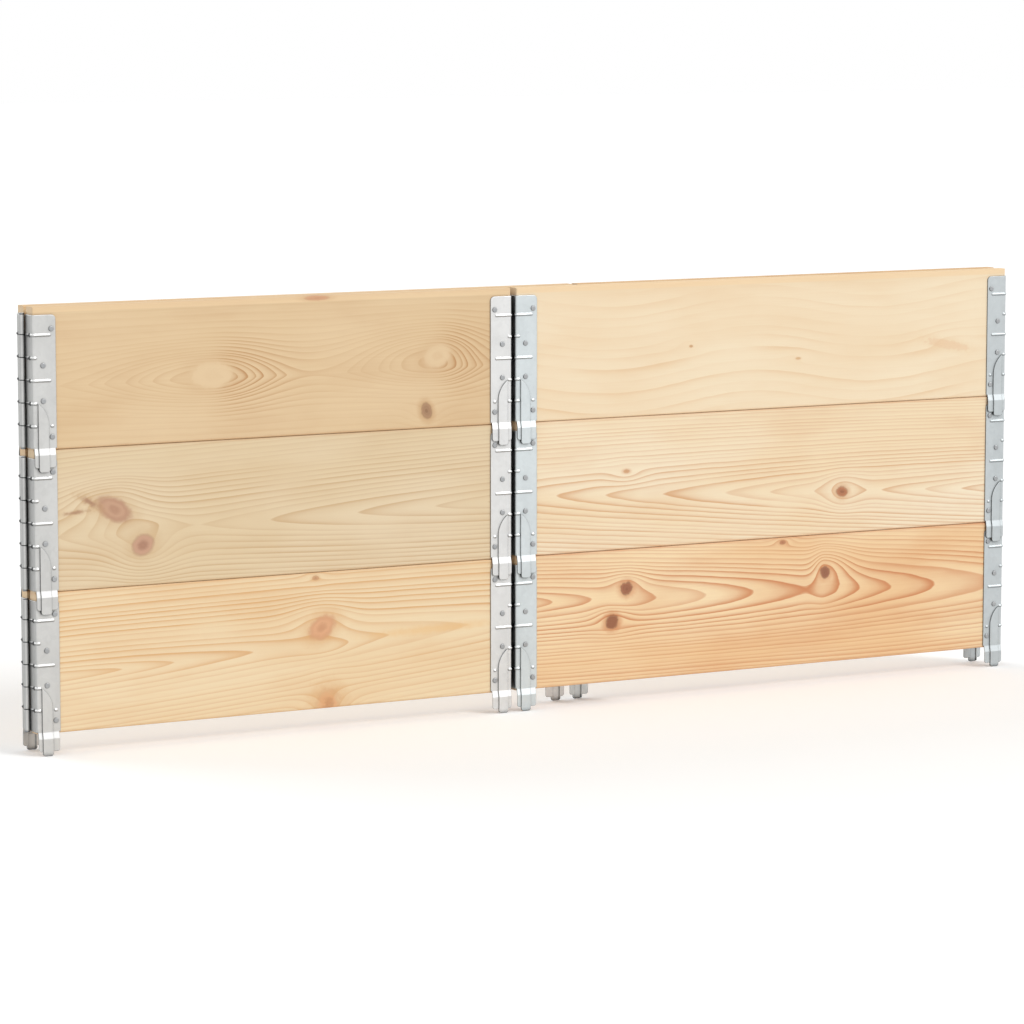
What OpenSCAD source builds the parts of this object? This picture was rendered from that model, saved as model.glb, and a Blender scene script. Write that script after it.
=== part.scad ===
// Stack of three wooden pallet collars, folded flat.
// Each collar is four pine boards joined by four pressed-sheet hinges, and opens to a rectangle.
// +X runs along the folded stack, the front faces -Y and +Z is up. The feet stand on z = 0.

/* [Collar] */
// Outside width of the opened collar, across its short boards
outside_width = 800; // [600:5:1000]
// Outside length of the opened collar, along its long boards
outside_length = 920; // [700:5:1400]
// Height of one board
board_height = 195; // [190:1:230]
// Thickness of one board
board_thickness = 20; // [19:0.5:28]
// Rounding of the boards' long edges
edge_radius = 2.5; // [0.5:0.25:4]

/* [Hinge leaf] */
// Thickness of the hinge sheet
sheet = 1.5; // [1:0.1:2]
// Width of a leaf on the board's face
leaf_width = 35; // [33:0.5:48]
// Board top down to the top of the leaf
leaf_drop = 11; // [8:0.5:15]
// Board bottom up to the lower end of the leaf's end flange
leaf_lift = 2.5; // [2:0.5:8]
// Inside radius of the bend round the board's end
bend_inner = 2; // [1:0.25:3]
// Rounding of the leaf's free upper corner
leaf_corner = 6; // [2:0.5:10]

/* [Knuckles and pins] */
// Diameter of the hinge pin
pin_diameter = 6; // [4:0.1:8]
// Radial play between pin and knuckle
pin_clearance = 0.05; // [0.02:0.01:0.1]
// Play between one knuckle and the next
knuckle_gap = 0.5; // [0.3:0.1:1.5]
// Play between the knuckles and the boards' inner faces
board_clearance = 0.35; // [0.3:0.05:2]
// Height of a pin's upset head
pin_head_height = 2; // [1:0.25:2]
// Reach of a pin's head past its shank
pin_head_reach = 1; // [0.5:0.1:1.4]

/* [Beads] */
// Leaf top down to the first pressed bead
bead_first = 27.5; // [22:0.5:32]
// Distance from bead to bead
bead_pitch = 31; // [26:0.5:32]
// Width of a bead
bead_width = 4; // [2.5:0.25:5]
// Height of a bead above the sheet
bead_height = 1.2; // [0.6:0.1:1.6]
// Reach of the long beads from the board's end
bead_long = 26; // [20:0.5:30]
// Gap between the short beads' ends and the tongue
bead_gap = 0.5; // [0.3:0.1:1]
// Straight length of the separate dimple beside the lowest bead
dimple_length = 1.5; // [0.5:0.25:3]

/* [Foot] */
// Play between a foot and the leaf of the collar below
foot_clearance = 0.6; // [0.4:0.1:1]
// Board bottom down to where the foot's step ends
step_drop = 6.5; // [5:0.5:9]
// Board bottom down to the ends of the foot's side strips
strip_drop = 24; // [18:0.5:26]
// Board bottom down to the end of the foot's tongue
tongue_drop = 30; // [27:0.5:32]
// Inset of the foot from each side of the leaf
foot_inset = 2; // [1:0.25:3]
// Start of the raised tongue from the board's end
tongue_start = 8; // [7:0.5:10]
// Width of the raised tongue
tongue_width = 15; // [12:0.5:16]
// Rise of the tongue above the sheet
tongue_rise = 1.5; // [0.8:0.1:2]
// Board bottom up to where the tongue's arched top begins
arch_base = 34; // [28:0.5:38]
// Radius of the tongue's arched top
arch_radius = 35.5; // [28:0.5:42]
// Rounding of the foot's lower corners
foot_corner = 3.5; // [1:0.25:5]

/* [Nails] */
// Diameter of a nail's head
nail_head = 7; // [5:0.25:7.5]
// Height of a nail's head
nail_head_height = 1; // [0.6:0.1:1.4]
// Diameter of a nail's shank
nail_shank = 3; // [2:0.1:4]
// Length of a nail under its head
nail_length = 18; // [12:0.5:20]
// Play of a nail in the leaf's hole
nail_clearance = 0.1; // [0.05:0.05:0.3]
// Outer nails, from the board's end
nail_outer = 28.5; // [27:0.25:29]
// Middle nails, from the board's end
nail_middle = 16; // [13:0.5:20]
// Half a bead's pitch is where a nail sits between two beads; the top nail sits above the first bead
nail_top = 8.5; // [8:0.25:10]
// The lowest nail sits below the last bead
nail_low = 14.5; // [13:0.25:15]

/* [Hidden] */
$fn = 64;
COLLARS = ["lower", "middle", "upper"];
BOARDS = ["front_short", "front_long", "back_short", "back_long"];
PIECES = ["board", "leaf_start", "leaf_end", "pin", "nails"];

pin_r = pin_diameter / 2;
bore_r = pin_r + pin_clearance;
barrel_r = bore_r + sheet;
// A pivot lies this far outside the leaf's end flange and this far inside the board's inner face
pivot_out = bore_r;
pivot_in = barrel_r + board_clearance;
board_front = -(pivot_in + board_thickness);
leaf_front = board_front - sheet;
bend_outer = bend_inner + sheet;
board_end = pivot_out + sheet;
short_pitch = outside_width + 2 * board_front;
long_pitch = outside_length + 2 * board_front;
folded = short_pitch + long_pitch;
leaf_top = board_height - leaf_drop;
foot_step = sheet + foot_clearance;
tongue_end = tongue_start + tongue_width;
bead_r = (bead_width * bead_width / 4 + bead_height * bead_height) / (2 * bead_height);
bead_sink = min(0.3, sheet / 4);
bead_short = tongue_start - bead_gap - bead_r;
bead_count = 5;
bead_z = [for (i = [0 : bead_count - 1]) leaf_top - bead_first - i * bead_pitch];
knuckle_z = concat([leaf_lift], [for (i = [bead_count - 1 : -1 : 0]) bead_z[i]], [leaf_top]);
nail_places = [
    [nail_outer, bead_z[0] + nail_top],
    [nail_middle, bead_z[1] - bead_pitch / 3],
    [nail_middle, bead_z[3] + nail_head / 2],
    [nail_outer, bead_z[4] - nail_low]
];
pine = ["burlywood", "wheat", "navajowhite"];

function node_name(c, b, p) = str(c, "_", b, "_", p);
function pitch_of(b) = (b == 0 || b == 2) ? short_pitch : long_pitch;
function turn_of(b) = b < 2 ? 0 : 180;
function pivot_x(b) = [-folded / 2, -folded / 2 + short_pitch, folded / 2, -folded / 2 + long_pitch][b];
function collar_z(c) = tongue_drop + c * board_height;

// Puts a board's own frame, with its first pivot at the origin, where it lies in the folded stack
module at_board(c, b) {
    translate([pivot_x(b), 0, collar_z(c)])
        rotate([0, 0, turn_of(b)])
            children();
}

// Mirrors a leaf to the far end of its board
module at_far_end(pitch) {
    translate([pitch, 0, 0])
        mirror([1, 0, 0])
            children();
}

// Thickens a shape drawn on the leaf's face outwards, from a height above the face
module outward(from, thick) {
    translate([pivot_out, leaf_front - from, 0])
        rotate([90, 0, 0])
            linear_extrude(thick)
                children();
}

// Runs a section, drawn as [inwards, up], along the leaf's width
module across(from, to) {
    translate([pivot_out + from, leaf_front, 0])
        rotate([90, 0, 90])
            linear_extrude(to - from)
                children();
}

module rounded_strip(width, height, radius) {
    translate([0, radius])
        square([width, height - 2 * radius]);
    translate([radius, 0])
        square([width - 2 * radius, height]);
    for (x = [radius, width - radius])
        for (y = [radius, height - radius])
            translate([x, y])
                circle(radius);
}

module round_bottom(width, height, radius) {
    translate([0, radius])
        square([width, height - radius]);
    translate([radius, 0])
        square([width - 2 * radius, height / 2]);
    for (x = [radius, width - radius])
        translate([x, radius])
            circle(radius);
}

// A board: rounded long edges, and end corners that fit inside the leaves' bends
module wood(pitch) {
    length = pitch - 2 * board_end;
    corner = bend_inner + 0.3;
    intersection() {
        translate([board_end, board_front, 0])
            rotate([90, 0, 90])
                linear_extrude(length)
                    rounded_strip(board_thickness, board_height, edge_radius);
        translate([board_end, board_front, -1])
            linear_extrude(board_height + 2)
                round_bottom(length, board_thickness + 1, corner);
    }
}

// The leaf's plan: a face plate bent round the board's end into a flange
module leaf_plan() {
    middle = [pivot_out + bend_outer, leaf_front + bend_outer];
    translate([middle[0], leaf_front])
        square([leaf_width - bend_outer, sheet]);
    translate([pivot_out, middle[1]])
        square([sheet, -pivot_in - middle[1]]);
    intersection() {
        translate(middle)
            difference() {
                circle(bend_outer);
                circle(bend_inner);
            }
        translate([pivot_out, leaf_front])
            square(bend_outer);
    }
}

module leaf_plate() {
    difference() {
        translate([0, 0, leaf_lift])
            linear_extrude(leaf_top - leaf_lift)
                leaf_plan();
        translate([0, 1, 0])
            outward(-sheet - 1, sheet + 4)
                translate([leaf_width - leaf_corner, leaf_top - leaf_corner])
                    difference() {
                        square(leaf_corner + 1);
                        circle(leaf_corner);
                    }
    }
}

// The crown of a bead above the sheet, in section
module bead_section() {
    intersection() {
        translate([bead_r - bead_height, 0])
            circle(bead_r);
        translate([-bead_height - 1, -bead_width])
            square([bead_height + 1 + bead_sink, 2 * bead_width]);
    }
}

// The round end of a bead on the face
module bead_ball(at, z) {
    intersection() {
        translate([pivot_out + at, leaf_front + bead_r - bead_height, z])
            sphere(bead_r);
        translate([pivot_out + at - bead_width, leaf_front - bead_height - 1, z - bead_width])
            cube([2 * bead_width, bead_height + 1 + bead_sink, 2 * bead_width]);
    }
}

// A bead on the face, with a round end
module face_bead(from, to, z) {
    across(from, to)
        translate([0, z])
            bead_section();
    bead_ball(to, z);
}

// A bead carried round the bend and along the end flange
module end_bead(z) {
    middle = [pivot_out + bend_outer, leaf_front + bend_outer, z];
    translate(middle)
        rotate([0, 0, 180])
            rotate_extrude(angle = 90)
                translate([bend_outer, 0])
                    mirror([1, 0])
                        bead_section();
    translate([pivot_out, -pivot_in - sheet, z])
        rotate([90, 0, 0])
            linear_extrude(-pivot_in - sheet - middle[1])
                bead_section();
}

module beads() {
    for (i = [0 : bead_count - 1]) {
        end_bead(bead_z[i]);
        face_bead(bend_outer, (i == 0 || i == 2) ? bead_long : bead_short, bead_z[i]);
    }
    face_bead(nail_outer - dimple_length / 2, nail_outer + dimple_length / 2, bead_z[bead_count - 1]);
    bead_ball(nail_outer - dimple_length / 2, bead_z[bead_count - 1]);
}

// Section of the foot's sheet as it steps out past the collar below; lift raises its outer side
module foot_section(lift, drop) {
    inner = foot_clearance;
    polygon([
        [sheet, leaf_lift + 2 * sheet],
        [-lift, leaf_lift + 2 * sheet],
        [-lift, leaf_lift],
        [-foot_step - lift, -step_drop],
        [-foot_step - lift, -drop],
        [-inner, -drop],
        [-inner, -step_drop],
        [sheet, leaf_lift]
    ]);
}

module foot_outline() {
    top = leaf_lift + 3 * sheet;
    translate([foot_inset, -strip_drop])
        round_bottom(leaf_width - 2 * foot_inset, strip_drop + top, foot_corner);
    translate([tongue_start, -tongue_drop])
        round_bottom(tongue_width, tongue_drop + top, foot_corner);
}

// The foot: two side strips and a raised tongue, pressed hollow from behind
module foot() {
    difference() {
        intersection() {
            union() {
                across(foot_inset, leaf_width - foot_inset)
                    foot_section(0, strip_drop);
                across(tongue_start, tongue_end)
                    foot_section(tongue_rise, tongue_drop);
            }
            outward(-sheet - 1, foot_step + tongue_rise + sheet + 2)
                foot_outline();
        }
        across(tongue_start + sheet, tongue_end - sheet)
            translate([-foot_clearance - tongue_rise, -tongue_drop - 1])
                square([tongue_rise + sheet, tongue_drop + 1 - step_drop]);
    }
}

// The tongue's raised panel on the face, under an arch that leans to the board's end
module tongue_panel() {
    outward(-bead_sink, tongue_rise + bead_sink) {
        translate([tongue_start, leaf_lift])
            square([tongue_width, arch_base - leaf_lift]);
        intersection() {
            translate([tongue_end - arch_radius, arch_base])
                circle(arch_radius);
            translate([tongue_start, arch_base - 1])
                square([tongue_width, arch_radius + 2]);
        }
    }
}

// Every second knuckle belongs to one leaf; first is 0 or 1
module knuckles(first) {
    for (i = [first : 2 : bead_count]) {
        low = knuckle_z[i] + knuckle_gap / 2;
        high = knuckle_z[i + 1] - knuckle_gap / 2;
        translate([0, 0, low])
            linear_extrude(high - low)
                difference() {
                    union() {
                        circle(barrel_r);
                        translate([pivot_out, -pivot_in - sheet])
                            square([sheet, pivot_in + sheet]);
                    }
                    circle(bore_r);
                }
    }
}

module nail_holes() {
    for (p = nail_places)
        translate([pivot_out + p[0], leaf_front - 1, p[1]])
            rotate([-90, 0, 0])
                cylinder(d = nail_shank + 2 * nail_clearance, h = sheet + 2);
}

module leaf(first) {
    difference() {
        union() {
            leaf_plate();
            beads();
            foot();
            tongue_panel();
            knuckles(first);
        }
        nail_holes();
    }
}

module nail_row() {
    for (p = nail_places)
        translate([pivot_out + p[0], leaf_front - nail_head_height, p[1]])
            rotate([-90, 0, 0]) {
                cylinder(d = nail_head, h = nail_head_height);
                cylinder(d = nail_shank, h = nail_head_height + nail_length);
            }
}

module board(c, b) {
    color(pine[c])
        at_board(c, b)
            wood(pitch_of(b));
}

module leaf_start(c, b) {
    color("lightgray")
        at_board(c, b)
            leaf(0);
}

module leaf_end(c, b) {
    color("lightgray")
        at_board(c, b)
            at_far_end(pitch_of(b))
                leaf(1);
}

module pin(c, b) {
    low = leaf_lift;
    high = leaf_top;
    color("silver")
        at_board(c, b)
            translate([pitch_of(b), 0, 0]) {
                translate([0, 0, low - pin_head_height])
                    cylinder(r = pin_r, h = high - low + 2 * pin_head_height);
                translate([0, 0, low - pin_head_height])
                    cylinder(r = pin_r + pin_head_reach, h = pin_head_height);
                translate([0, 0, high])
                    cylinder(r = pin_r + pin_head_reach, h = pin_head_height);
            }
}

module nails(c, b) {
    color("gray")
        at_board(c, b) {
            nail_row();
            at_far_end(pitch_of(b))
                nail_row();
        }
}

module piece(c, b, p) {
    if (p == "board") board(c, b);
    if (p == "leaf_start") leaf_start(c, b);
    if (p == "leaf_end") leaf_end(c, b);
    if (p == "pin") pin(c, b);
    if (p == "nails") nails(c, b);
}

for (c = [0 : 2])
    for (b = [0 : 3])
        for (p = PIECES)
            piece(c, b, p);
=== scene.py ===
import math

import bpy
from mathutils import Matrix, Vector


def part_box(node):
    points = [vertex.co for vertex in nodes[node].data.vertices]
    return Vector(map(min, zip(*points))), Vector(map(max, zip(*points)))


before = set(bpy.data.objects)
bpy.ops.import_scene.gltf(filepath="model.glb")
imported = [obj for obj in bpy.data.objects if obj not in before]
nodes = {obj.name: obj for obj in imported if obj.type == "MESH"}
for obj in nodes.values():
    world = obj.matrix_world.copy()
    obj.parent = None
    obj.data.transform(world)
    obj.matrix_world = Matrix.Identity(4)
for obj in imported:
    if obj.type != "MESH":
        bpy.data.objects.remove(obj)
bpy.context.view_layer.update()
scene = bpy.context.scene
scene.view_settings.view_transform = "Standard"

# Sizes of the part at rest, in metres
BOARD_BASE = 0.030
BOARD_HEIGHT = 0.195
LOW_BEAD = 0.0325
BEAD_PITCH = 0.031
PRESSED_RADIUS = 0.0014
# The wider end of a slit's painted shade: its distance from the hinge's middle plane, half its height
# and half its depth
SLIT_END = 0.0195
SLIT_END_HIGH = 0.0031
SLIT_END_DEEP = 0.0042
# Where a board's darkening towards its top and bottom edges and its painted highlight band along the
# top begin and are full, from the board's middle height
EDGE_DARKENING = (0.0925, 0.0975)
TOP_HIGHLIGHT_BAND = (0.0885, 0.0905)

# One growth ring, from early wood to late wood; the offset keeps ring numbers above zero
RING_PROFILE = [
    (0.0, 0.0), (0.3, 0.05), (0.62, 0.32), (0.86, 0.85), (0.94, 1.0), (0.975, 0.7), (1.0, 0.0),
]
RING_OFFSET = 40.0
RING_PACE = 1.3
# Each board takes its noise from a place of its own
FIRST_SEED = 1.7
SEED_STEP = 5.3

WHITE = (1.0, 1.0, 1.0, 1.0)
SOFT_LIGHT = 0.60
FLOOR_REACH = 30.0
FLOOR_LEVEL = -0.0004
FLOOR_GLOW = 0.16

SENSOR_WIDTH = 36.0
LENS = 149.97
FARTHEST = 200.0
CAMERA_PLACE = (-3.05919, -5.34804, 1.0453)
AZIMUTH = -29.379
ELEVATION = 7.034


def lin(r, g, b):
    """A colour given as 8-bit sRGB, as linear RGBA."""
    out = []
    for v in (r, g, b):
        c = v / 255.0
        out.append(c / 12.92 if c <= 0.04045 else ((c + 0.055) / 1.055) ** 2.4)
    return (*out, 1.0)


END_GRAIN = lin(216, 192, 160)
# Painted shade for the wood in seams and sheltered corners, on side faces and on end grain
SEAM_SHADE = lin(128, 62, 32)
END_SEAM_SHADE = lin(150, 128, 104)
FLANGE_SHADE = lin(146, 148, 148)
PAINTED_EDGE_HIGHLIGHT = lin(250, 251, 251)
PAINTED_EDGE_SHADE = lin(92, 96, 98)
SLIT_SHADE = lin(30, 32, 34)
CORNER_SHADE = lin(40, 43, 44)


class Field:
    """A value in a node tree that can be added and multiplied like a number."""

    def __init__(self, graph, socket):
        self.graph = graph
        self.socket = socket

    def op(self, kind, *others):
        return self.graph.math(kind, self, *others)

    def __add__(self, o):
        return self.op("ADD", o)

    def __radd__(self, o):
        return self.op("ADD", o)

    def __sub__(self, o):
        return self.op("SUBTRACT", o)

    def __rsub__(self, o):
        return self.graph.math("SUBTRACT", o, self)

    def __mul__(self, o):
        return self.op("MULTIPLY", o)

    def __truediv__(self, o):
        return self.op("DIVIDE", o)

    def sq(self):
        return self.op("MULTIPLY", self)


class Graph:
    """Builds one material's node tree."""

    def __init__(self, name):
        self.material = bpy.data.materials.new(name)
        self.material.use_nodes = True
        self.tree = self.material.node_tree
        self.tree.nodes.clear()
        self.output = self.new("ShaderNodeOutputMaterial")

    def new(self, kind, **settings):
        node = self.tree.nodes.new(kind)
        for key, value in settings.items():
            setattr(node, key, value)
        return node

    def put(self, socket, value):
        """Links a field or a socket to an input, or sets the input to a constant."""
        if isinstance(value, Field):
            self.tree.links.new(value.socket, socket)
        elif isinstance(value, bpy.types.NodeSocket):
            self.tree.links.new(value, socket)
        else:
            socket.default_value = value

    def math(self, kind, *values):
        node = self.new("ShaderNodeMath", operation=kind)
        for socket, value in zip(node.inputs, values):
            self.put(socket, value)
        return Field(self, node.outputs[0])

    def parts(self, vector):
        """The three parts of a vector."""
        split = self.new("ShaderNodeSeparateXYZ")
        self.put(split.inputs[0], vector)
        return [Field(self, s) for s in split.outputs]

    def place(self):
        """The piece's own coordinates at rest, in metres."""
        return self.parts(self.new("ShaderNodeTexCoord").outputs["Object"])

    def end_face(self):
        """1 on faces that look along the board, 0 on its sides and edges."""
        along = self.parts(self.new("ShaderNodeTexCoord").outputs["Normal"])[0]
        return self.smooth(self.math("ABSOLUTE", along), 0.5, 0.8)

    def shelter(self, distance, samples):
        """0 in closed corners, 1 in the open."""
        node = self.new("ShaderNodeAmbientOcclusion", samples=samples)
        node.inputs["Distance"].default_value = distance
        return Field(self, node.outputs["AO"])

    def vector(self, x, y, z):
        node = self.new("ShaderNodeCombineXYZ")
        for socket, value in zip(node.inputs, (x, y, z)):
            self.put(socket, value)
        return node.outputs[0]

    def noise(self, vector, detail, rough=0.5):
        node = self.new("ShaderNodeTexNoise")
        self.put(node.inputs["Vector"], vector)
        node.inputs["Scale"].default_value = 1.0
        node.inputs["Detail"].default_value = detail
        node.inputs["Roughness"].default_value = rough
        return Field(self, node.outputs[0])

    def smooth(self, value, low, high):
        """0 below low, 1 above high, smooth between them."""
        node = self.new("ShaderNodeMapRange", interpolation_type="SMOOTHSTEP")
        self.put(node.inputs[0], value)
        node.inputs[1].default_value = low
        node.inputs[2].default_value = high
        return Field(self, node.outputs[0])

    def ramp(self, value, stops):
        """A grey level from a list of positions and levels."""
        node = self.new("ShaderNodeValToRGB")
        self.put(node.inputs[0], value)
        points = node.color_ramp.elements
        while len(points) < len(stops):
            points.new(0.5)
        for point, (position, level) in zip(points, stops):
            point.position = position
            point.color = (level, level, level, 1.0)
        return Field(self, node.outputs[0])

    def mix(self, factor, a, b):
        node = self.new("ShaderNodeMix", data_type="RGBA", blend_type="MIX")
        self.put(node.inputs["Factor"], factor)
        self.put(node.inputs[6], a)
        self.put(node.inputs[7], b)
        return node.outputs[2]

    def surface(self, colour, rough, metal=0.0, specular=0.5, normal=None):
        shader = self.new("ShaderNodeBsdfPrincipled")
        self.put(shader.inputs["Base Color"], colour)
        self.put(shader.inputs["Roughness"], rough)
        shader.inputs["Metallic"].default_value = metal
        shader.inputs["Specular IOR Level"].default_value = specular
        if normal is not None:
            self.put(shader.inputs["Normal"], normal)
        self.put(self.output.inputs["Surface"], shader.outputs[0])
        return self.material

    def bump(self, height, strength, distance, normal=None):
        node = self.new("ShaderNodeBump")
        node.inputs["Strength"].default_value = strength
        node.inputs["Distance"].default_value = distance
        self.put(node.inputs["Height"], height)
        if normal is not None:
            self.put(node.inputs["Normal"], normal)
        return node.outputs[0]


def bent_grain(g, look, x, z):
    """The grain as it bends round the knots.

    Gives the height in the log, the rings by which knots shift their surroundings, and a closeness to
    knots that draw strong rings.
    """
    lift = z
    swell = x * 0.0
    close = x * 0.0
    for k in look["knots"]:
        left, right = k.get("reach", (0.05, 0.05))
        side = g.math("GREATER_THAN", x, k["x"])
        dx = (x - k["x"]) * (side * (1.0 / right - 1.0 / left) + 1.0 / left)
        dz = (z - k["z"]) / k.get("rise", 0.03)
        near = g.math("EXPONENT", (dx.sq() + dz.sq()) * -1.0)
        lift = lift - (z - k["z"]) * near * k.get("pull", 0.85)
        swell = swell + near * k.get("swell", -1.5)
        if "draw" in k:
            beside = g.smooth(x, k["x"] - 0.015, k["x"] + 0.045) * 0.87 + 0.13
            close = close + g.math("POWER", near, 0.75) * beside * k["draw"]
    if "wave" in look:
        size, length, start = look["wave"]
        lift = lift - g.math("SINE", (x - start) * (2.0 * math.pi / length)) * size
    return lift, swell, close


def late_wood(g, look, place, face_y, seed):
    """The share of dark late wood, from growth rings round a pith that runs nearly along the board."""
    x, y, z = place
    lift, swell, close = bent_grain(g, look, x, z)
    wander = g.noise(g.vector(x * 2.2 + seed, y * 3.0, z * 7.0), 2.0, 0.45)
    ripple = g.noise(g.vector(x * 16.0 + seed, y * 30.0, z * 60.0), 2.0, 0.5)
    height = lift - x * look.get("drift", 0.0) - look["pith_z"]
    depth = (x - look["tip_x"]) * look["tilt"] + (y - face_y) * look.get("turn", 1.0) + look["depth"]
    bend = look.get("bend", 2.0)
    powers = [g.math("POWER", g.math("ABSOLUTE", v), bend) for v in (height, depth)]
    radius = g.math("POWER", powers[0] + powers[1], 1.0 / bend)
    radius = radius + (wander - 0.5) * look["wander"] + (ripple - 0.5) * look.get("ripple", 0.0022)
    ring = radius / look["spacing"] + swell
    pace = g.noise(g.vector(ring * 0.45 + seed, 3.0, 0.0), 1.0)
    ring = ring + (pace - 0.5) * RING_PACE + RING_OFFSET
    late = g.ramp(g.math("FRACT", ring), RING_PROFILE)
    uneven = g.noise(g.vector(g.math("FLOOR", ring) * 3.7 + seed, 0.0, 0.0), 0.0)
    broken = g.noise(g.vector(x * 6.0 - seed, y * 8.0, z * 22.0), 1.0)
    strength = g.smooth(uneven, look.get("sparse", 0.25), look.get("full", 0.65)) * 0.75 + 0.25
    late = late * strength * g.smooth(broken, look.get("gone", 0.2), look.get("broken", 0.6))
    if "far" in look:
        late = late * g.math("MINIMUM", close + look["far"], 1.0)
    for start, stop, amount in look.get("faint", ()):
        late = late * (1.0 - g.smooth(z, start, stop) * amount)
    return late


def paint_knots(g, look, place, seed, colour):
    """Lays each knot over the board's colour: a stain round it, then its ringed and ragged body."""
    x, y, z = place
    rough = g.noise(g.vector(x * 110.0 + seed, y * 30.0, z * 130.0), 4.0, 0.65)
    for k in look["knots"]:
        turn = math.radians(k.get("turn", 0.0))
        ax = (x - k["x"]) * math.cos(turn) + (z - k["z"]) * math.sin(turn)
        az = (z - k["z"]) * math.cos(turn) - (x - k["x"]) * math.sin(turn)
        far = g.math("SQRT", (ax / k["rx"]).sq() + (az / k["rz"]).sq())
        far = far + (rough - 0.5) * k.get("ragged", 0.5)
        halo = (1.0 - g.smooth(far, 0.9, k.get("halo", 2.0))) * k.get("stain", 0.45)
        colour = g.mix(halo, colour, look["line"])
        inside = 1.0 - g.smooth(far, k.get("soft", 0.68), 1.14)
        rings = g.math("SINE", far * k.get("rings", 16.0)) * 0.5 + 0.5
        heart = 1.0 - g.smooth(far, 0.08, 0.5)
        rim = g.smooth(far, 0.72, 0.95) * k.get("rim", 0.6)
        body = g.mix(rings * k.get("ringed", 0.22), k["colour"], k["dark"])
        body = g.mix(heart * k.get("heart", 0.5), body, k["dark"])
        body = g.mix(rim, body, k["dark"])
        colour = g.mix(inside * k.get("solid", 0.95), colour, body)
    return colour


def pine(name, look, face_y, middle_z, seed):
    """Planed pine with its grain and knots and paler end grain; darker towards its top and bottom
    edges, with painted shade in seams and sheltered corners and, on boards given one, a painted
    highlight along the top edge.
    """
    g = Graph(name)
    place = g.place()
    x, y, z = place
    line = look["line"]
    late = late_wood(g, look, place, face_y, seed)
    fibre = g.noise(g.vector(x * 9.0 + seed, y * 500.0, z * 520.0), 3.0, 0.6)
    cloud = g.noise(g.vector(x * 3.0 - seed, y * 9.0, z * 9.0), 2.0, 0.5)
    blush = g.noise(g.vector(x * 6.0 + 2.0 * seed, y * 9.0, z * 20.0), 3.0, 0.55)
    edge_wobble = g.noise(g.vector(x * 30.0 + seed, y * 80.0, z * 80.0), 2.0)
    colour = g.mix(g.smooth(cloud, 0.3, 0.7), look["pale"], look["warm"])
    colour = g.mix(g.smooth(blush, 0.42, 0.75) * 0.16, colour, line)
    if "band" in look:
        low, high, amount = look["band"]
        colour = g.mix(g.smooth(z, low, high) * amount, colour, line)
    # The board turns darker towards its top and bottom edges, with a wobbly border
    from_middle = g.math("ABSOLUTE", z - middle_z) + (edge_wobble - 0.5) * 0.004
    colour = g.mix(g.smooth(from_middle, *EDGE_DARKENING) * 0.36, colour, line)
    colour = g.mix(late * look["contrast"], colour, line)
    # Painted highlight: a lighter band along the top edge of the upper boards, where a wider rounded
    # edge would catch the light
    if "top" in look:
        colour = g.mix(g.smooth(z - middle_z, *TOP_HIGHLIGHT_BAND) * 0.65, colour, look["top"])
    colour = g.mix(g.smooth(fibre, 0.25, 0.75) * look.get("fibre", 0.08), colour, line)
    colour = paint_knots(g, look, place, seed, colour)
    # Painted shade: the wood darkens where ambient occlusion finds it sheltered, in the seams between
    # boards and round the leaves
    seam_shade = (1.0 - g.smooth(g.shelter(0.010, 5), 0.10, look.get("seam_shade", 0.72))) * 0.90
    end = g.end_face()
    colour = g.mix(end * 0.6, colour, END_GRAIN)
    colour = g.mix(seam_shade * (1.0 - end), colour, SEAM_SHADE)
    colour = g.mix(seam_shade * end, colour, END_SEAM_SHADE)
    normal = g.bump(late * 0.35 + fibre * 0.4, 0.12, 0.0006)
    return g.surface(colour, 0.58 - late * 0.06, 0.0, 0.35, normal)


def slit_shade(g, y, z):
    """1 where the shade of the slits between a leaf's knuckles is painted: a fine line along the
    flange, wider near the bend.
    """
    local = g.math("FRACT", (z - BOARD_BASE) / BOARD_HEIGHT) * BOARD_HEIGHT
    off = (g.math("FRACT", (local - LOW_BEAD) / BEAD_PITCH + 0.5) - 0.5) * BEAD_PITCH
    depth = g.math("ABSOLUTE", y)
    far = g.math("SQRT", (off / SLIT_END_HIGH).sq() + ((depth - SLIT_END) / SLIT_END_DEEP).sq())
    hole = 1.0 - g.smooth(far, 0.7, 1.1)
    line = 1.0 - g.smooth(g.math("ABSOLUTE", off), 0.0004, 0.0009)
    line = line * g.math("LESS_THAN", depth, SLIT_END)
    row = g.math("GREATER_THAN", local, LOW_BEAD - BEAD_PITCH / 2.0)
    return g.math("MAXIMUM", hole, line) * row


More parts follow.
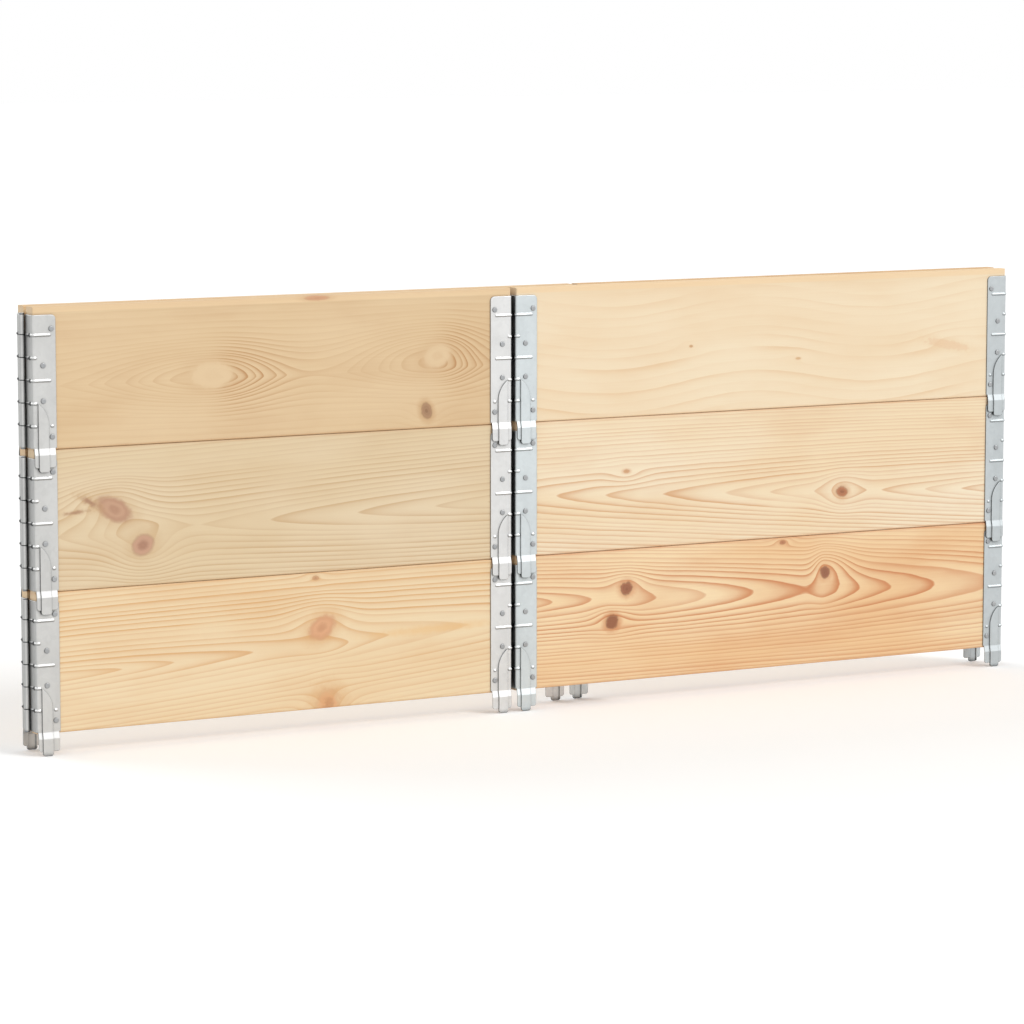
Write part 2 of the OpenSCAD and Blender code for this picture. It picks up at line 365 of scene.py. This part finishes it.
def zinc(name, tone, seed, highlight_amount=0.55):
    """Galvanised sheet: spangle, rolling streaks and dull patches; painted shade on its flanges, slits
    and pressed corners, and painted highlight and shade on edges that face up and down.
    """
    g = Graph(name)
    x, y, z = g.place()
    warp = g.noise(g.vector(x * 60.0 + seed, y * 60.0, z * 60.0), 2.0)
    spangle = g.new("ShaderNodeTexVoronoi", feature="F1")
    spangle.inputs["Scale"].default_value = 1.0
    g.put(spangle.inputs["Vector"], g.vector(x * 150.0 + warp, y * 150.0 + warp, z * 150.0))
    split = g.new("ShaderNodeSeparateColor")
    g.put(split.inputs[0], spangle.outputs["Color"])
    grain = Field(g, split.outputs[0])
    dull = g.noise(g.vector(x * 25.0, y * 25.0 + seed, z * 18.0), 3.0, 0.6)
    scratch = g.noise(g.vector(x * 1500.0, y * 1500.0, z * 60.0 + seed), 2.0)
    pale = tuple(min(1.0, c * 1.05) for c in tone[:3]) + (1.0,)
    deep = tuple(c * 0.84 for c in tone[:3]) + (1.0,)
    shade = g.smooth(dull, 0.3, 0.75) * 0.5 + grain * 0.25 + scratch * 0.12
    colour = g.mix(shade, pale, deep)
    # Painted shade: faces that look along the board, the flanges and hinge ends, darker as if turned
    # from the light
    colour = g.mix(g.end_face() * 0.45, colour, FLANGE_SHADE)
    round_edge = g.new("ShaderNodeBevel", samples=4)
    round_edge.inputs["Radius"].default_value = PRESSED_RADIUS
    upward = g.parts(round_edge.outputs[0])[2]
    # Painted highlight on pressed edges that face up and painted shade on those that face down, as if
    # lit from above
    colour = g.mix(g.smooth(upward, 0.06, 0.45) * highlight_amount, colour, PAINTED_EDGE_HIGHLIGHT)
    colour = g.mix(g.smooth(upward * -1.0, 0.06, 0.45) * 0.5, colour, PAINTED_EDGE_SHADE)
    # Painted shade of the slits and relief holes between the knuckles
    colour = g.mix(slit_shade(g, y, z) * 0.95, colour, SLIT_SHADE)
    # Painted shade: the sheet darkens where ambient occlusion finds it sheltered, in pressed corners
    # and the hinge gap
    corner_shade = (1.0 - g.smooth(g.shelter(0.008, 6), 0.28, 0.97)) * 0.92
    colour = g.mix(corner_shade, colour, CORNER_SHADE)
    normal = g.bump(grain * 0.3 + dull, 0.10, 0.0004, round_edge.outputs[0])
    return g.surface(colour, 0.30 + dull * 0.14 + grain * 0.05, 0.90, 0.5, normal)


RED = lin(176, 110, 78)
BROWN = lin(118, 72, 48)
PALE_KNOT = lin(231, 203, 163)

LOOKS = {
    "upper_front_short": dict(
        pale=lin(232, 205, 165), warm=lin(227, 198, 156), line=lin(190, 138, 88), contrast=0.92,
        seam_shade=0.86, pith_z=0.506, depth=0.005, tilt=0.0, tip_x=0.0, spacing=0.0110, wander=0.010,
        ripple=0.0024, turn=0.2, sparse=0.2, full=0.5, far=0.10, gone=0.0, broken=0.5, bend=1.5,
        top=lin(243, 213, 171),
        knots=[
            dict(
                x=-0.538, z=0.511, rx=0.038, rz=0.0215, reach=(0.15, 0.088), rise=0.040, pull=0.1,
                swell=-8.0, draw=1.6, colour=PALE_KNOT, dark=lin(214, 180, 136), solid=0.95,
                rings=9.0, ringed=0.12, stain=0.12, heart=0.0, rim=0.3, halo=1.7, ragged=0.3,
            ),
            dict(
                x=-0.184, z=0.523, rx=0.026, rz=0.019, turn=15, reach=(0.12, 0.062), rise=0.042,
                pull=0.1, swell=-8.0, draw=1.6, colour=PALE_KNOT, dark=lin(210, 172, 130),
                solid=0.92, rings=10.0, ringed=0.15, stain=0.12, heart=0.1, rim=0.3, halo=1.8,
                ragged=0.3,
            ),
            dict(
                x=-0.202, z=0.445, rx=0.009, rz=0.0125, turn=20, reach=(0.03, 0.03), rise=0.022,
                colour=lin(176, 138, 106), dark=lin(130, 94, 68), stain=0.4,
            ),
            dict(
                x=-0.375, z=0.612, rx=0.020, rz=0.0035, reach=(0.05, 0.05), rise=0.008, pull=0.1,
                swell=0.0, colour=lin(214, 160, 124), dark=lin(196, 138, 102), solid=0.8, stain=0.2,
            ),
        ],
    ),
    "middle_front_short": dict(
        pale=lin(234, 214, 181), warm=lin(229, 207, 170), line=lin(202, 164, 118), contrast=0.72,
        pith_z=0.310, drift=0.012, depth=0.0195, tilt=-0.057, tip_x=-0.215, spacing=0.0063,
        wander=0.005, turn=0.4, fibre=0.06, ripple=0.0008, bend=1.6, gone=0.0, broken=0.6,
        faint=[(0.34, 0.40, 0.35)],
        knots=[
            dict(
                x=-0.688, z=0.333, rx=0.030, rz=0.0165, turn=-28, reach=(0.06, 0.05), rise=0.035,
                swell=-3.0, colour=lin(200, 158, 130), dark=lin(166, 118, 94), rings=11.0,
                ringed=0.3, heart=0.2, rim=0.5, ragged=0.35, stain=0.3,
            ),
            dict(
                x=-0.724, z=0.345, rx=0.019, rz=0.0052, turn=-32, reach=(0.03, 0.03), rise=0.015,
                pull=0.3, swell=-0.5, colour=lin(178, 134, 106), dark=lin(150, 106, 82), solid=0.75,
                soft=0.3, ragged=2.0, stain=0.3,
            ),
            dict(
                x=-0.744, z=0.332, rx=0.022, rz=0.0036, turn=6, reach=(0.03, 0.03), rise=0.012,
                pull=0.2, swell=0.0, colour=lin(180, 136, 106), dark=lin(152, 108, 82), solid=0.7,
                soft=0.3, ragged=2.0, stain=0.2,
            ),
            dict(
                x=-0.645, z=0.281, rx=0.0180, rz=0.0150, turn=25, reach=(0.045, 0.05), rise=0.034,
                swell=-3.0, colour=lin(202, 158, 132), dark=lin(154, 106, 86), rings=7.0,
                ringed=0.5, heart=0.25, rim=0.3, ragged=0.4, stain=0.3,
            ),
        ],
    ),
    "lower_front_short": dict(
        pale=lin(245, 224, 187), warm=lin(242, 217, 177), line=lin(219, 164, 104), contrast=0.90,
        pith_z=0.138, drift=0.04, depth=0.007, tilt=0.061, tip_x=-0.70, spacing=0.0070,
        wander=0.005, turn=0.4, ripple=0.0010, bend=1.6, gone=0.0, broken=0.45,
        faint=[(0.135, 0.085, 0.5)],
        knots=[
            dict(
                x=-0.370, z=0.146, rx=0.0235, rz=0.0165, turn=32, reach=(0.05, 0.045), rise=0.030,
                swell=-1.5, colour=lin(226, 172, 132), dark=lin(194, 136, 100), rings=10.0,
                heart=0.35, rim=0.35, stain=0.35,
            ),
            dict(
                x=-0.361, z=0.035, rx=0.021, rz=0.024, reach=(0.04, 0.04), rise=0.044, swell=-3.0,
                colour=lin(226, 168, 122), dark=lin(188, 124, 82), rings=9.0, ringed=0.25,
                solid=0.75, heart=0.5, soft=0.35, ragged=1.0, stain=0.35,
            ),
            dict(
                x=-0.190, z=0.131, rx=0.150, rz=0.0085, turn=1.5, pull=0.0, swell=0.0,
                colour=lin(238, 194, 132), dark=lin(236, 188, 122), solid=0.50, soft=0.12,
                ragged=0.9, rings=3.0, heart=0.0, rim=0.0, stain=0.0,
            ),
            dict(
                x=-0.380, z=0.217, rx=0.0055, rz=0.0035, reach=(0.02, 0.02), rise=0.010, swell=-0.6,
                colour=lin(208, 158, 118), dark=lin(166, 116, 84), solid=0.8, stain=0.3,
            ),
        ],
    ),
    "upper_front_long": dict(
        pale=lin(248, 230, 199), warm=lin(245, 223, 189), line=lin(230, 190, 142), contrast=0.58,
        pith_z=0.3755, depth=0.012, tilt=0.006, tip_x=0.4, spacing=0.0157, wander=0.012,
        ripple=0.004, wave=(0.012, 0.46, 0.225), sparse=0.42, full=0.62, broken=0.7, turn=0.3,
        band=(0.59, 0.615, 0.15), top=lin(247, 216, 173),
        knots=[
            dict(
                x=0.240, z=0.519, rx=0.0034, rz=0.0022, reach=(0.03, 0.03), rise=0.012, swell=-0.3,
                colour=lin(216, 174, 130), dark=lin(194, 146, 104), stain=0.2,
            ),
            dict(
                x=0.428, z=0.493, rx=0.005, rz=0.002, reach=(0.03, 0.03), rise=0.01, swell=-0.3,
                colour=lin(226, 188, 144), dark=lin(210, 166, 124), stain=0.2,
            ),
            dict(
                x=0.698, z=0.503, rx=0.040, rz=0.007, turn=-12, reach=(0.05, 0.05), rise=0.02,
                swell=-0.3, colour=lin(238, 204, 166), dark=lin(226, 182, 144), solid=0.6,
                ragged=1.6, rim=0.2, heart=0.0, stain=0.15,
            ),
        ],
    ),
    "middle_front_long": dict(
        pale=lin(251, 237, 209), warm=lin(247, 226, 190), line=lin(214, 156, 104), contrast=0.83,
        seam_shade=0.86, pith_z=0.311, drift=-0.042, depth=0.045, tilt=-0.055, tip_x=0.30, spacing=0.0051,
        wander=0.005, ripple=0.0014, turn=0.4, bend=1.55, gone=0.0, broken=0.5,
        faint=[(0.335, 0.375, 0.4)],
        knots=[
            dict(
                x=0.509, z=0.288, rx=0.0105, rz=0.0085, reach=(0.03, 0.035), rise=0.022, swell=-1.5,
                colour=lin(188, 124, 88), dark=lin(128, 76, 52), ragged=0.8, stain=0.45,
            ),
            dict(
                x=0.130, z=0.340, rx=0.006, rz=0.003, reach=(0.03, 0.03), rise=0.014, swell=0.8,
                colour=lin(208, 152, 106), dark=lin(182, 122, 84), solid=0.7, stain=0.4,
            ),
        ],
    ),
    "lower_front_long": dict(
        pale=lin(252, 228, 186), warm=lin(244, 206, 157), line=lin(206, 126, 76), contrast=0.88,
        pith_z=0.156, drift=-0.030, depth=0.038, tilt=0.060, tip_x=0.30, spacing=0.0052,
        wander=0.006, ripple=0.0014, turn=0.4, full=0.55, bend=1.9, gone=0.0, broken=0.45,
        faint=[(0.170, 0.215, 0.4), (0.115, 0.075, 0.35)],
        knots=[
            dict(
                x=0.131, z=0.167, rx=0.0105, rz=0.010, reach=(0.03, 0.03), rise=0.020, swell=-1.2,
                colour=lin(164, 106, 78), dark=lin(100, 58, 42), ragged=0.9, rim=0.9, heart=0.25,
                stain=0.5,
            ),
            dict(
                x=0.106, z=0.119, rx=0.011, rz=0.0105, turn=30, reach=(0.03, 0.035), rise=0.020,
                swell=1.2, colour=lin(152, 98, 70), dark=lin(98, 58, 42), ragged=0.7, rim=1.0,
                ringed=0.0, heart=0.0, stain=0.55,
            ),
            dict(
                x=0.479, z=0.167, rx=0.0085, rz=0.0095, reach=(0.02, 0.045), rise=0.030, swell=-2.5,
                colour=lin(158, 104, 78), dark=lin(108, 66, 50), ragged=0.8, rim=0.85, heart=0.3,
                stain=0.4,
            ),
            dict(
                x=0.403, z=0.2175, rx=0.006, rz=0.0035, reach=(0.02, 0.02), rise=0.010,
                colour=lin(196, 136, 98), dark=lin(150, 98, 70), stain=0.3,
            ),
        ],
    ),
    "upper_back_long": dict(
        pale=lin(244, 221, 182), warm=lin(238, 209, 165), line=lin(214, 168, 116), contrast=0.55,
        pith_z=0.52, depth=0.04, tilt=0.05, tip_x=-0.3, spacing=0.0060, wander=0.008, turn=-0.4,
        knots=[
            dict(
                x=-0.25, z=0.55, rx=0.014, rz=0.012, colour=RED, dark=BROWN, stain=0.4,
            ),
        ],
    ),
    "upper_back_short": dict(
        pale=lin(240, 212, 168), warm=lin(232, 198, 150), line=lin(206, 156, 104), contrast=0.58,
        pith_z=0.56, depth=0.03, tilt=-0.05, tip_x=0.4, spacing=0.0056, wander=0.008, turn=-0.4,
        knots=[
            dict(
                x=0.52, z=0.47, rx=0.012, rz=0.01, colour=RED, dark=BROWN, stain=0.4,
            ),
        ],
    ),
    "middle_back_long": dict(
        pale=lin(238, 209, 164), warm=lin(231, 195, 147), line=lin(202, 148, 98), contrast=0.6,
        pith_z=0.35, depth=0.035, tilt=-0.05, tip_x=-0.2, spacing=0.0054, wander=0.008, turn=-0.4,
        knots=[
            dict(
                x=-0.52, z=0.30, rx=0.016, rz=0.013, colour=lin(190, 128, 90), dark=BROWN,
                stain=0.4,
            ),
            dict(
                x=-0.1, z=0.37, rx=0.01, rz=0.009, colour=RED, dark=BROWN, stain=0.4,
            ),
        ],
    ),
    "middle_back_short": dict(
        pale=lin(245, 223, 186), warm=lin(240, 213, 172), line=lin(218, 176, 124), contrast=0.5,
        pith_z=0.29, depth=0.04, tilt=0.05, tip_x=0.5, spacing=0.0066, wander=0.009, turn=-0.4,
        knots=[
            dict(
                x=0.3, z=0.35, rx=0.013, rz=0.011, colour=lin(196, 138, 98), dark=BROWN, stain=0.4,
            ),
        ],
    ),
    "lower_back_long": dict(
        pale=lin(242, 214, 170), warm=lin(236, 201, 152), line=lin(212, 160, 106), contrast=0.58,
        pith_z=0.13, depth=0.03, tilt=0.055, tip_x=-0.5, spacing=0.0056, wander=0.008, turn=-0.4,
        knots=[
            dict(
                x=-0.4, z=0.09, rx=0.015, rz=0.012, colour=RED, dark=BROWN, stain=0.4,
            ),
        ],
    ),
    "lower_back_short": dict(
        pale=lin(236, 204, 156), warm=lin(229, 190, 140), line=lin(198, 142, 92), contrast=0.62,
        pith_z=0.15, depth=0.04, tilt=-0.05, tip_x=0.5, spacing=0.0058, wander=0.008, turn=-0.4,
        knots=[
            dict(
                x=0.45, z=0.17, rx=0.012, rz=0.012, colour=RED, dark=BROWN, stain=0.4,
            ),
        ],
    ),
}


def dress(node, material):
    """Gives a CAD node one material."""
    data = nodes[node].data
    data.materials.clear()
    data.materials.append(material)


# Copies of one zinc with painted light and shade: the middle leaves lighter, the end leaves darker,
# the right end also without its painted edge highlight
shaded_left_steel = zinc("zinc_shaded_left", lin(214, 214, 212), 3.0)
lit_steel = zinc("zinc_lit", lin(231, 231, 230), 11.0)
lit_blue_steel = zinc("zinc_lit_blue", lin(218, 225, 227), 17.0)
shaded_right_steel = zinc("zinc_shaded_right", lin(203, 209, 211), 23.0, 0.0)
# Darker than the sheet, partly as painted shade for the hinge gap where the pins are seen
shaded_pin_steel = zinc("zinc_pin_shaded", lin(150, 152, 155), 29.0)
nail_steel = zinc("zinc_nail", lin(176, 178, 180), 41.0)
# Lit and shaded copies of one zinc, by where each hinge stands: painted light and shade. The steel of
# a board's start leaf and end leaf; the two leaves of an end hinge look alike
leaf_steel = {
    "front_short": (shaded_left_steel, lit_steel),
    "front_long": (lit_blue_steel, shaded_right_steel),
    "back_long": (lit_steel, shaded_left_steel),
    "back_short": (shaded_right_steel, lit_blue_steel),
}

for number, (board, look) in enumerate(LOOKS.items()):
    low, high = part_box(board + "_board")
    face_y = low.y if "front" in board else high.y
    middle_z = (low.z + high.z) / 2.0
    seed = SEED_STEP * number + FIRST_SEED
    dress(board + "_board", pine("pine_" + board, look, face_y, middle_z, seed))
    start_steel, end_steel = leaf_steel[board.split("_", 1)[1]]
    dress(board + "_leaf_start", start_steel)
    dress(board + "_leaf_end", end_steel)
    dress(board + "_pin", shaded_pin_steel)
    dress(board + "_nails", nail_steel)


def sun(name, come_from, power, spread):
    """A soft sun lamp that shines from a direction; spread is in degrees."""
    data = bpy.data.lights.new(name, "SUN")
    data.energy = power
    data.angle = math.radians(spread)
    lamp = bpy.data.objects.new(name, data)
    scene.collection.objects.link(lamp)
    lamp.rotation_euler = Vector(come_from).to_track_quat("Z", "Y").to_euler()


sun("key", (0.55, -0.80, 0.75), 1.20, 25.0)
sun("rear_fill", (-0.45, 0.85, 0.60), 0.80, 40.0)

# The world: white where it is seen, directly or in a reflection, and softer as a light
world = bpy.data.worlds.new("studio")
scene.world = world
world.use_nodes = True
tree = world.node_tree
tree.nodes.clear()
world_output = tree.nodes.new("ShaderNodeOutputWorld")
backgrounds = []
for strength in (SOFT_LIGHT, 1.0):
    background = tree.nodes.new("ShaderNodeBackground")
    background.inputs[0].default_value = WHITE
    background.inputs[1].default_value = strength
    backgrounds.append(background.outputs[0])
rays = tree.nodes.new("ShaderNodeLightPath")
shown_to = rays.outputs["Is Camera Ray"]
for kind in ("Is Glossy Ray", "Is Transmission Ray"):
    either = tree.nodes.new("ShaderNodeMath")
    either.operation = "MAXIMUM"
    tree.links.new(shown_to, either.inputs[0])
    tree.links.new(rays.outputs[kind], either.inputs[1])
    shown_to = either.outputs[0]
join = tree.nodes.new("ShaderNodeMixShader")
tree.links.new(shown_to, join.inputs[0])
tree.links.new(backgrounds[0], join.inputs[1])
tree.links.new(backgrounds[1], join.inputs[2])
tree.links.new(join.outputs[0], world_output.inputs[0])

# The floor: pale and plain, a little brighter to the camera so that it meets the white background
floor_data = bpy.data.meshes.new("floor")
corners = [(-1, -1), (1, -1), (1, 1), (-1, 1)]
floor_data.from_pydata(
    [(FLOOR_REACH * a, FLOOR_REACH * b, FLOOR_LEVEL) for a, b in corners],
    [],
    [(0, 1, 2, 3)],
)
floor = bpy.data.objects.new("floor", floor_data)
scene.collection.objects.link(floor)
g = Graph("studio_floor")
x, y, z = g.place()
patch = g.noise(g.vector(x * 0.8, y * 0.8, z), 2.0)
colour = g.mix(patch, lin(250, 250, 250), lin(247, 247, 246))
floor_data.materials.append(g.surface(colour, 0.9, 0.0, 0.1))
shown = g.new("ShaderNodeLightPath")
glow = g.new("ShaderNodeEmission")
glow.inputs["Color"].default_value = WHITE
glow.inputs["Strength"].default_value = FLOOR_GLOW
plain = g.output.inputs["Surface"].links[0].from_socket
brighter = g.new("ShaderNodeAddShader")
g.put(brighter.inputs[0], plain)
g.put(brighter.inputs[1], glow.outputs[0])
choose = g.new("ShaderNodeMixShader")
g.put(choose.inputs[0], shown.outputs["Is Camera Ray"])
g.put(choose.inputs[1], plain)
g.put(choose.inputs[2], brighter.outputs[0])
g.put(g.output.inputs["Surface"], choose.outputs[0])

camera_data = bpy.data.cameras.new("camera")
camera_data.sensor_width = SENSOR_WIDTH
camera_data.lens = LENS
camera_data.clip_end = FARTHEST
camera = bpy.data.objects.new("camera", camera_data)
scene.collection.objects.link(camera)
azimuth = math.radians(AZIMUTH)
elevation = math.radians(ELEVATION)
level = math.cos(elevation)
forward = Vector((-math.sin(azimuth) * level, math.cos(azimuth) * level, -math.sin(elevation)))
right = Vector((math.cos(azimuth), math.sin(azimuth), 0.0))
up = right.cross(forward)
turn = Matrix((right, up, -forward)).transposed().to_4x4()
camera.matrix_world = Matrix.Translation(CAMERA_PLACE) @ turn
scene.camera = camera
